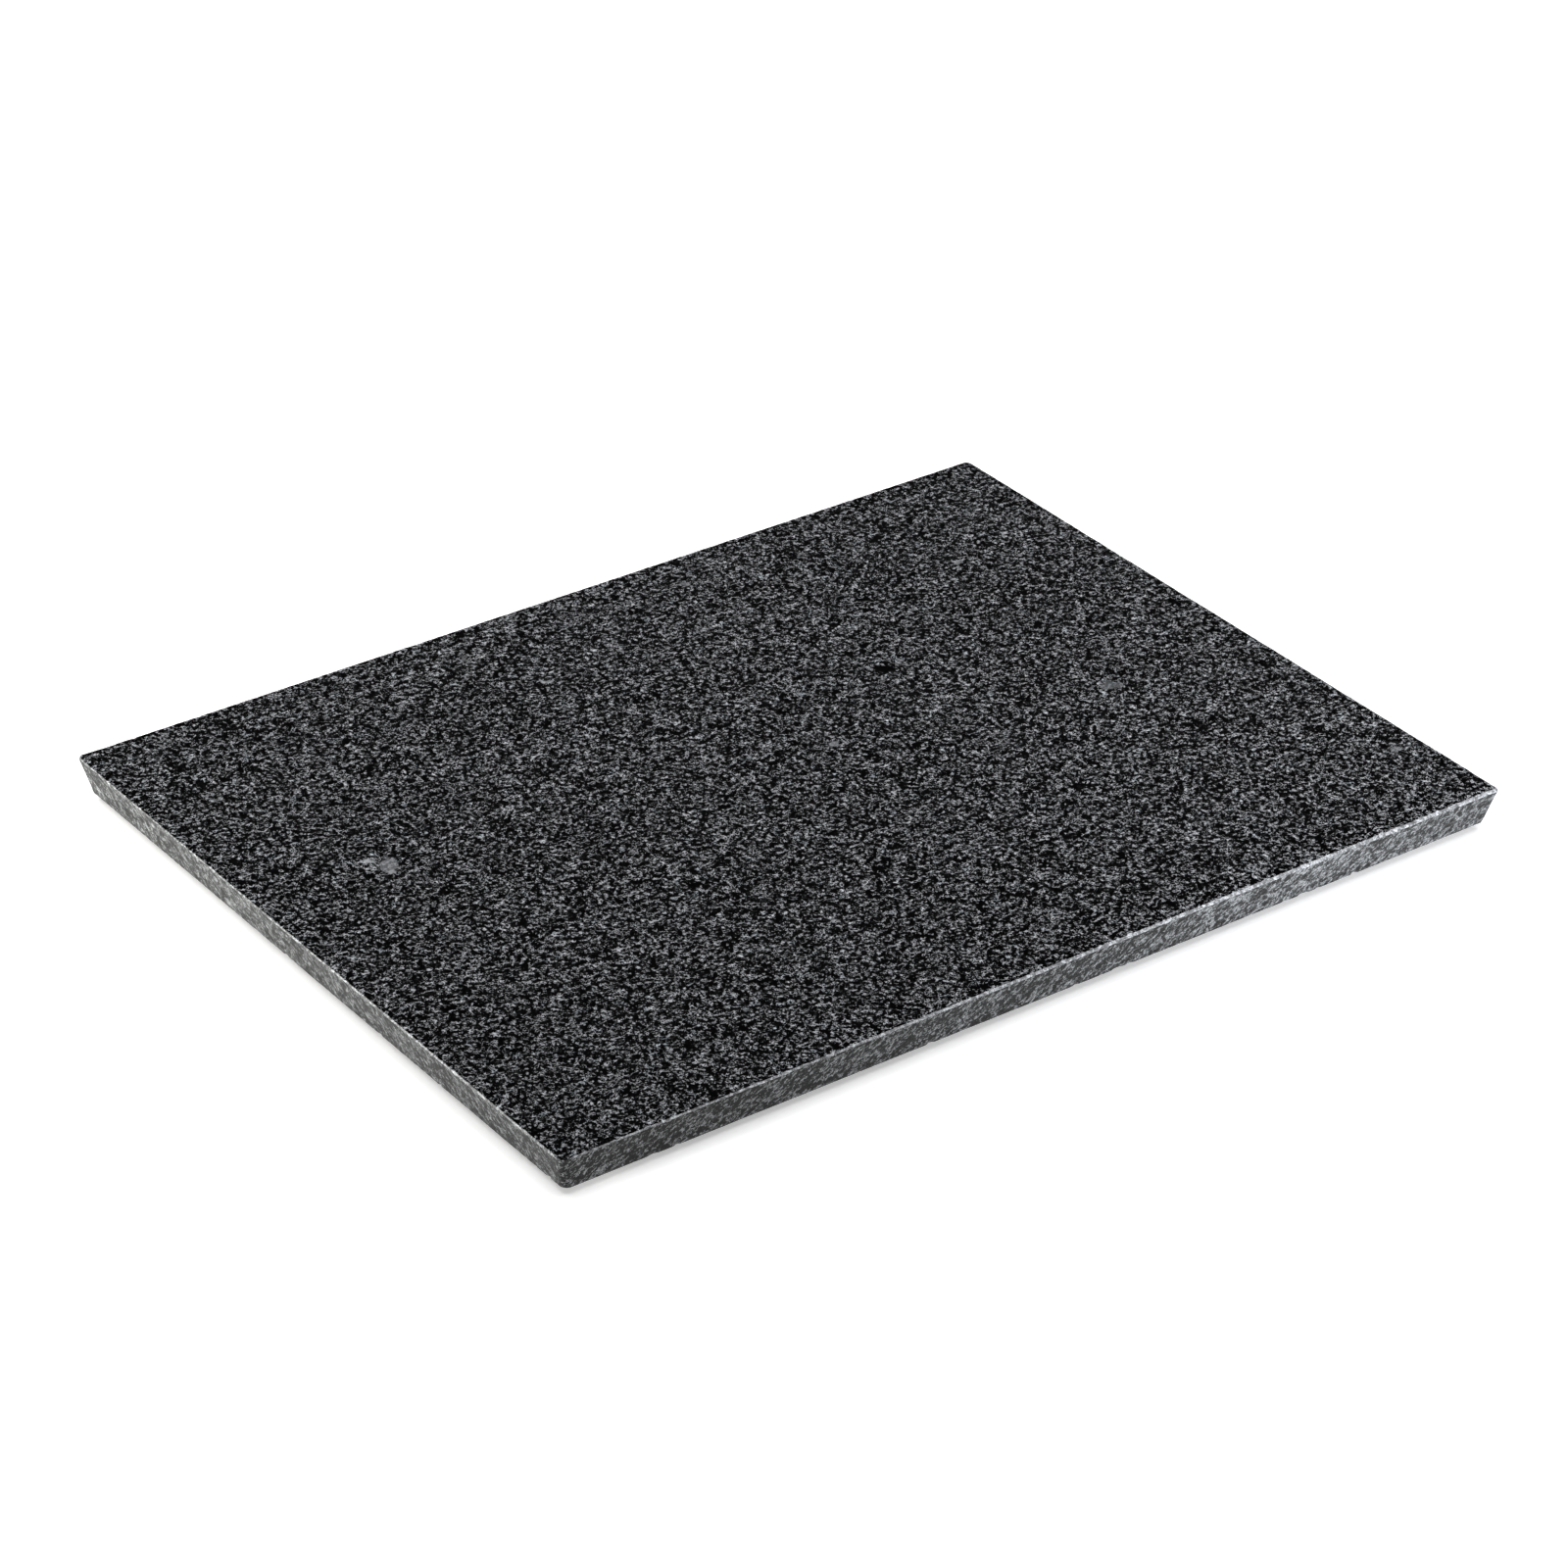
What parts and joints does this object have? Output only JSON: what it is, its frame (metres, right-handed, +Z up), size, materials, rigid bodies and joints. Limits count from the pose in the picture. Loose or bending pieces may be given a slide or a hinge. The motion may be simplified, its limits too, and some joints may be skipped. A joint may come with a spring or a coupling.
{
  "type": "granite slab",
  "caption": "Flat polished granite slab with bevelled, undercut edges on low rubber feet; a heavy, hard base for stamping, tooling and punching leather.",
  "frame": {"origin": "middle of the rectangle of feet, on the plane that the feet stand on", "axes": "+Z up out of the polished face, +X along the long side, +Y towards the back long side"},
  "size_m": [0.39, 0.3, 0.017],
  "materials": {
    "granite": "polished on top, honed on the sides, sawn underneath",
    "foot_rubber": "matte moulded rubber",
    "foot_adhesive": "translucent pressure-sensitive adhesive on a pale carrier"
  },
  "bodies": {
    "root": {"slab": "granite", "foot_front_left": "foot_rubber", "foot_front_right": "foot_rubber", "foot_back_left": "foot_rubber", "foot_back_right": "foot_rubber", "foot_adhesive_front_left": "foot_adhesive", "foot_adhesive_front_right": "foot_adhesive", "foot_adhesive_back_left": "foot_adhesive", "foot_adhesive_back_right": "foot_adhesive"}
  },
  "joints": []
}
